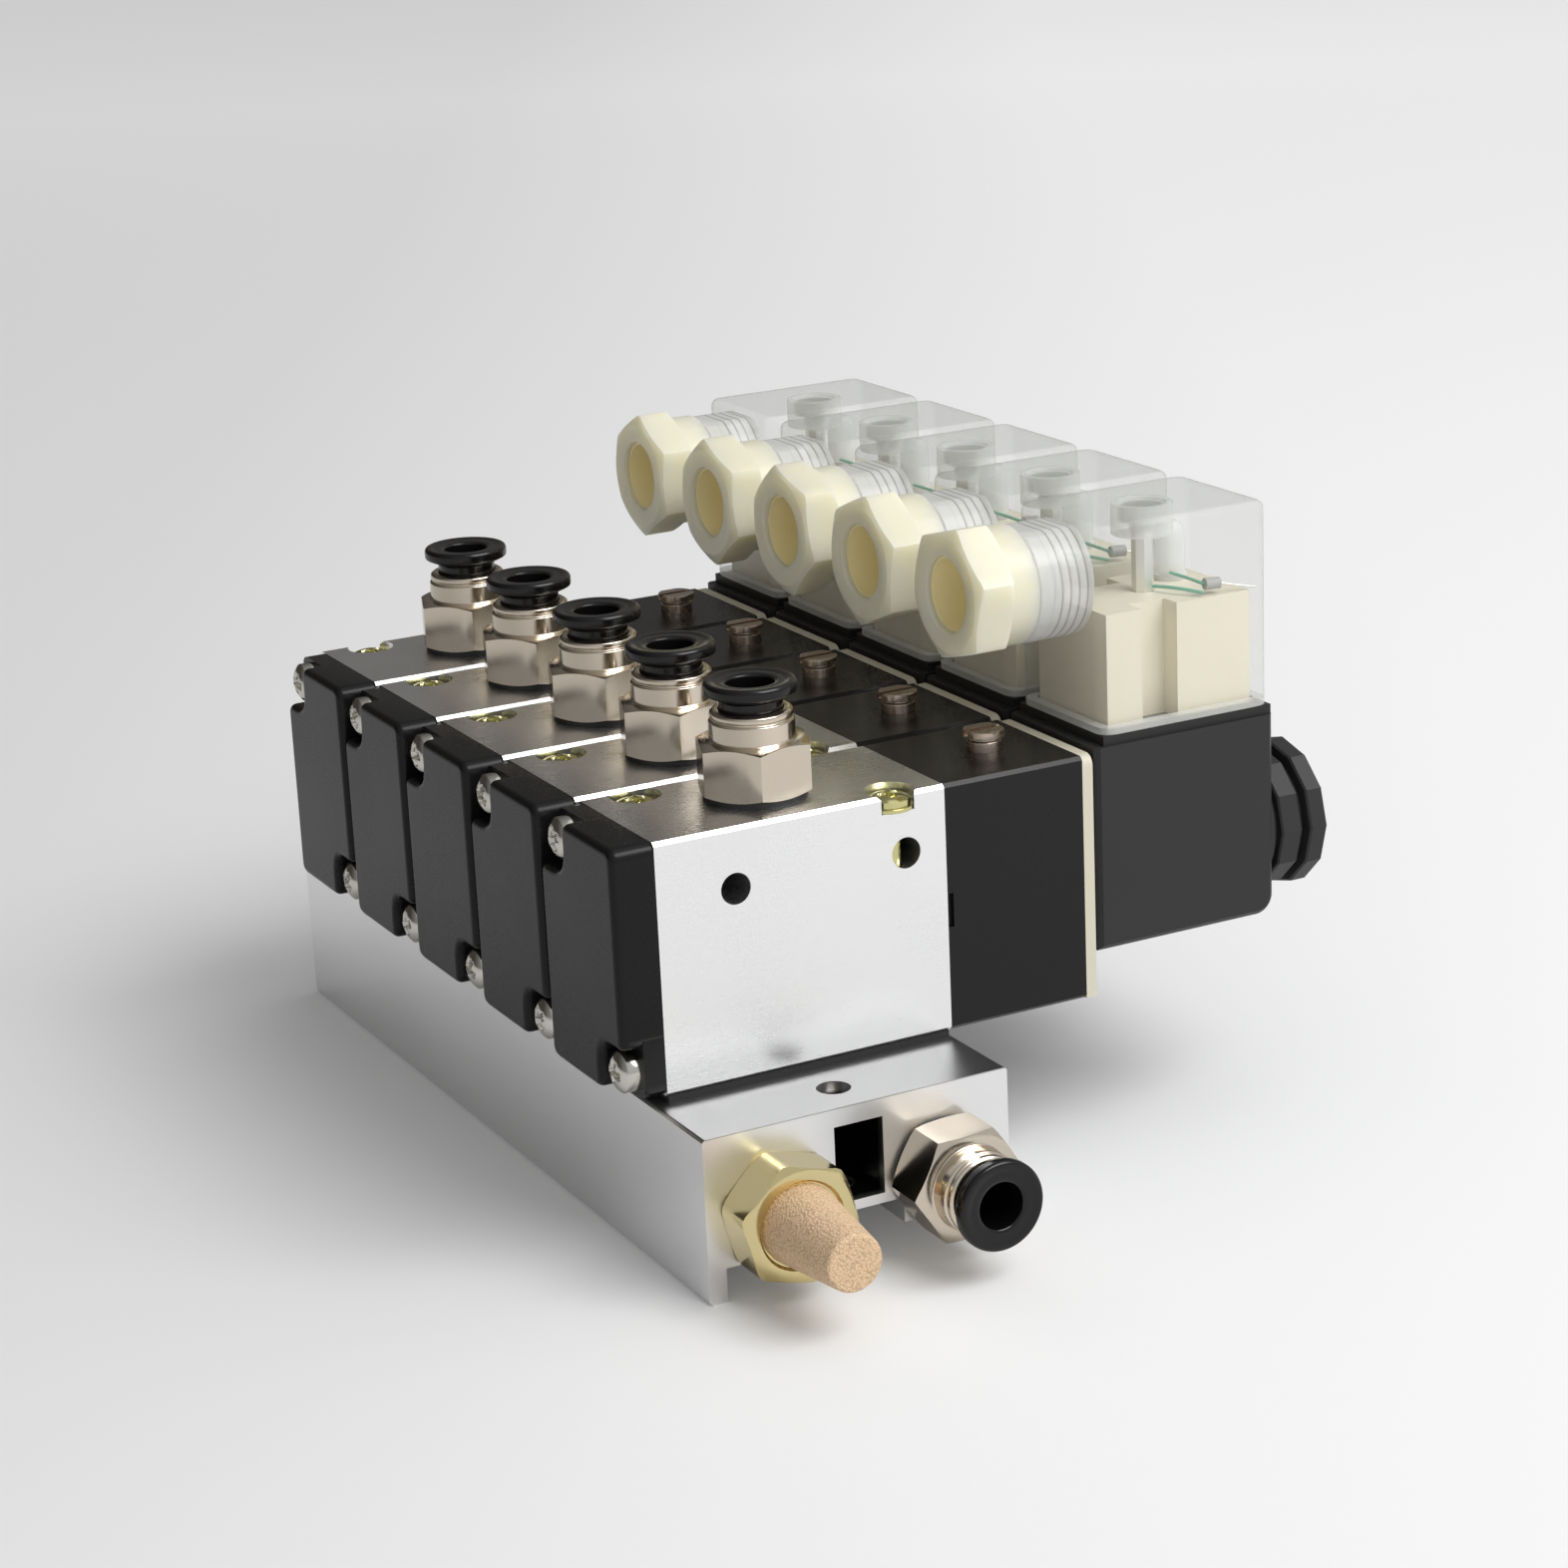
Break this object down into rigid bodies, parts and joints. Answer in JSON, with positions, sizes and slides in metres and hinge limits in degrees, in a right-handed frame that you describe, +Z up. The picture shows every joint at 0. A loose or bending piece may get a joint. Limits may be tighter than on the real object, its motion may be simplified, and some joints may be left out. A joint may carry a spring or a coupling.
{
  "type": "pneumatic valve island",
  "caption": "Row of solenoid valves side by side on one extruded manifold, with clear plug connectors, push-in outlet fittings, a supply fitting and an exhaust silencer.",
  "frame": {"origin": "midway between the manifold's two mounting holes, on the underside face where they open, 8 mm above the plane that its legs stand on", "axes": "+Z up, Y along the manifold with its ported end at -Y, +X from the end caps towards the coils"},
  "size_m": [0.1087, 0.1569, 0.0885],
  "materials": {
    "extruded_aluminium": "satin",
    "cast_aluminium": "satin",
    "satin_black_plastic": "satin",
    "gloss_black_plastic": "gloss",
    "coil_black_plastic": "satin",
    "cream_plastic": "satin",
    "black_rubber": "matte",
    "grey_rubber": "matte",
    "nickel_screw": "plated",
    "yellow_zinc": "plated",
    "stainless_steel": "turned",
    "spool_aluminium": "turned",
    "tinned_blade": "plated",
    "clear_plastic": "clear",
    "lamp_lens": "clear",
    "nickel_plate": "plated",
    "copper_button": "turned",
    "collar_plastic": "gloss",
    "plain_brass": "turned",
    "sintered_bronze": "granular"
  },
  "bodies": {
    "island": {"manifold": "extruded_aluminium", "valve_gaskets": "black_rubber", "end_caps": "satin_black_plastic", "cap_screws": "nickel_screw", "valve_mount_screws": "yellow_zinc", "pilot_bodies": "gloss_black_plastic", "pilot_screws": "nickel_screw", "armature_plates": "cream_plastic", "armature_tubes": "stainless_steel", "coil_seals": "black_rubber", "coil_pins": "tinned_blade", "coil_nuts": "coil_black_plastic", "connector_gaskets": "grey_rubber", "connector_housings": "clear_plastic", "terminal_inserts": "cream_plastic", "led_lamps": "lamp_lens", "connector_screws": "nickel_screw", "gland_nuts": "cream_plastic", "port_fittings": "nickel_plate", "port_seals": "black_rubber", "silencer_body": "plain_brass", "silencer_cone": "sintered_bronze", "manifold_plugs": "nickel_screw", "supply_fitting": "nickel_plate", "spool_springs": "stainless_steel", "plunger_springs": "stainless_steel", "button_springs": "stainless_steel", "valve_body_1": "cast_aluminium", "valve_body_2": "cast_aluminium", "valve_body_3": "cast_aluminium", "valve_body_4": "cast_aluminium", "valve_body_5": "cast_aluminium", "coil_1": "coil_black_plastic", "coil_2": "coil_black_plastic", "coil_3": "coil_black_plastic", "coil_4": "coil_black_plastic", "coil_5": "coil_black_plastic"},
    "spool_1": {"spool_1": "spool_aluminium"},
    "plunger_1": {"plunger_1": "stainless_steel"},
    "button_1": {"override_button_1": "copper_button"},
    "collar_1": {"port_collar_1": "collar_plastic"},
    "spool_2": {"spool_2": "spool_aluminium"},
    "plunger_2": {"plunger_2": "stainless_steel"},
    "button_2": {"override_button_2": "copper_button"},
    "collar_2": {"port_collar_2": "collar_plastic"},
    "spool_3": {"spool_3": "spool_aluminium"},
    "plunger_3": {"plunger_3": "stainless_steel"},
    "button_3": {"override_button_3": "copper_button"},
    "collar_3": {"port_collar_3": "collar_plastic"},
    "spool_4": {"spool_4": "spool_aluminium"},
    "plunger_4": {"plunger_4": "stainless_steel"},
    "button_4": {"override_button_4": "copper_button"},
    "collar_4": {"port_collar_4": "collar_plastic"},
    "spool_5": {"spool_5": "spool_aluminium"},
    "plunger_5": {"plunger_5": "stainless_steel"},
    "button_5": {"override_button_5": "copper_button"},
    "collar_5": {"port_collar_5": "collar_plastic"},
    "supply_collar": {"supply_collar": "collar_plastic"}
  },
  "joints": [
    {"name": "spool_1_slide", "type": "slide", "parent": "island", "child": "spool_1", "axis": [-1, 0, 0], "range_m": [0, 0.0032], "stiffness_N_per_m": 800, "springref_m": -0.004, "deforming": ["spool_springs"]},
    {"name": "plunger_1_slide", "type": "slide", "parent": "island", "child": "plunger_1", "axis": [1, 0, 0], "range_m": [0, 0.0009], "stiffness_N_per_m": 400, "springref_m": -0.003, "deforming": ["plunger_springs"]},
    {"name": "button_1_press", "type": "slide", "parent": "island", "child": "button_1", "axis": [0, 0, -1], "range_m": [0, 0.0015], "stiffness_N_per_m": 600, "springref_m": -0.002, "deforming": ["button_springs"]},
    {"name": "collar_1_press", "type": "slide", "parent": "island", "child": "collar_1", "axis": [0, 0, -1], "range_m": [0, 0.0012], "stiffness_N_per_m": 600, "springref_m": -0.002},
    {"name": "spool_2_slide", "type": "slide", "parent": "island", "child": "spool_2", "axis": [-1, 0, 0], "range_m": [0, 0.0032], "stiffness_N_per_m": 800, "springref_m": -0.004},
    {"name": "plunger_2_slide", "type": "slide", "parent": "island", "child": "plunger_2", "axis": [1, 0, 0], "range_m": [0, 0.0009], "stiffness_N_per_m": 400, "springref_m": -0.003},
    {"name": "button_2_press", "type": "slide", "parent": "island", "child": "button_2", "axis": [0, 0, -1], "range_m": [0, 0.0015], "stiffness_N_per_m": 600, "springref_m": -0.002},
    {"name": "collar_2_press", "type": "slide", "parent": "island", "child": "collar_2", "axis": [0, 0, -1], "range_m": [0, 0.0012], "stiffness_N_per_m": 600, "springref_m": -0.002},
    {"name": "spool_3_slide", "type": "slide", "parent": "island", "child": "spool_3", "axis": [-1, 0, 0], "range_m": [0, 0.0032], "stiffness_N_per_m": 800, "springref_m": -0.004},
    {"name": "plunger_3_slide", "type": "slide", "parent": "island", "child": "plunger_3", "axis": [1, 0, 0], "range_m": [0, 0.0009], "stiffness_N_per_m": 400, "springref_m": -0.003},
    {"name": "button_3_press", "type": "slide", "parent": "island", "child": "button_3", "axis": [0, 0, -1], "range_m": [0, 0.0015], "stiffness_N_per_m": 600, "springref_m": -0.002},
    {"name": "collar_3_press", "type": "slide", "parent": "island", "child": "collar_3", "axis": [0, 0, -1], "range_m": [0, 0.0012], "stiffness_N_per_m": 600, "springref_m": -0.002},
    {"name": "spool_4_slide", "type": "slide", "parent": "island", "child": "spool_4", "axis": [-1, 0, 0], "range_m": [0, 0.0032], "stiffness_N_per_m": 800, "springref_m": -0.004},
    {"name": "plunger_4_slide", "type": "slide", "parent": "island", "child": "plunger_4", "axis": [1, 0, 0], "range_m": [0, 0.0009], "stiffness_N_per_m": 400, "springref_m": -0.003},
    {"name": "button_4_press", "type": "slide", "parent": "island", "child": "button_4", "axis": [0, 0, -1], "range_m": [0, 0.0015], "stiffness_N_per_m": 600, "springref_m": -0.002},
    {"name": "collar_4_press", "type": "slide", "parent": "island", "child": "collar_4", "axis": [0, 0, -1], "range_m": [0, 0.0012], "stiffness_N_per_m": 600, "springref_m": -0.002},
    {"name": "spool_5_slide", "type": "slide", "parent": "island", "child": "spool_5", "axis": [-1, 0, 0], "range_m": [0, 0.0032], "stiffness_N_per_m": 800, "springref_m": -0.004},
    {"name": "plunger_5_slide", "type": "slide", "parent": "island", "child": "plunger_5", "axis": [1, 0, 0], "range_m": [0, 0.0009], "stiffness_N_per_m": 400, "springref_m": -0.003},
    {"name": "button_5_press", "type": "slide", "parent": "island", "child": "button_5", "axis": [0, 0, -1], "range_m": [0, 0.0015], "stiffness_N_per_m": 600, "springref_m": -0.002},
    {"name": "collar_5_press", "type": "slide", "parent": "island", "child": "collar_5", "axis": [0, 0, -1], "range_m": [0, 0.0012], "stiffness_N_per_m": 600, "springref_m": -0.002},
    {"name": "supply_collar_press", "type": "slide", "parent": "island", "child": "supply_collar", "axis": [0, 1, 0], "range_m": [0, 0.0012], "stiffness_N_per_m": 600, "springref_m": -0.002}
  ]
}
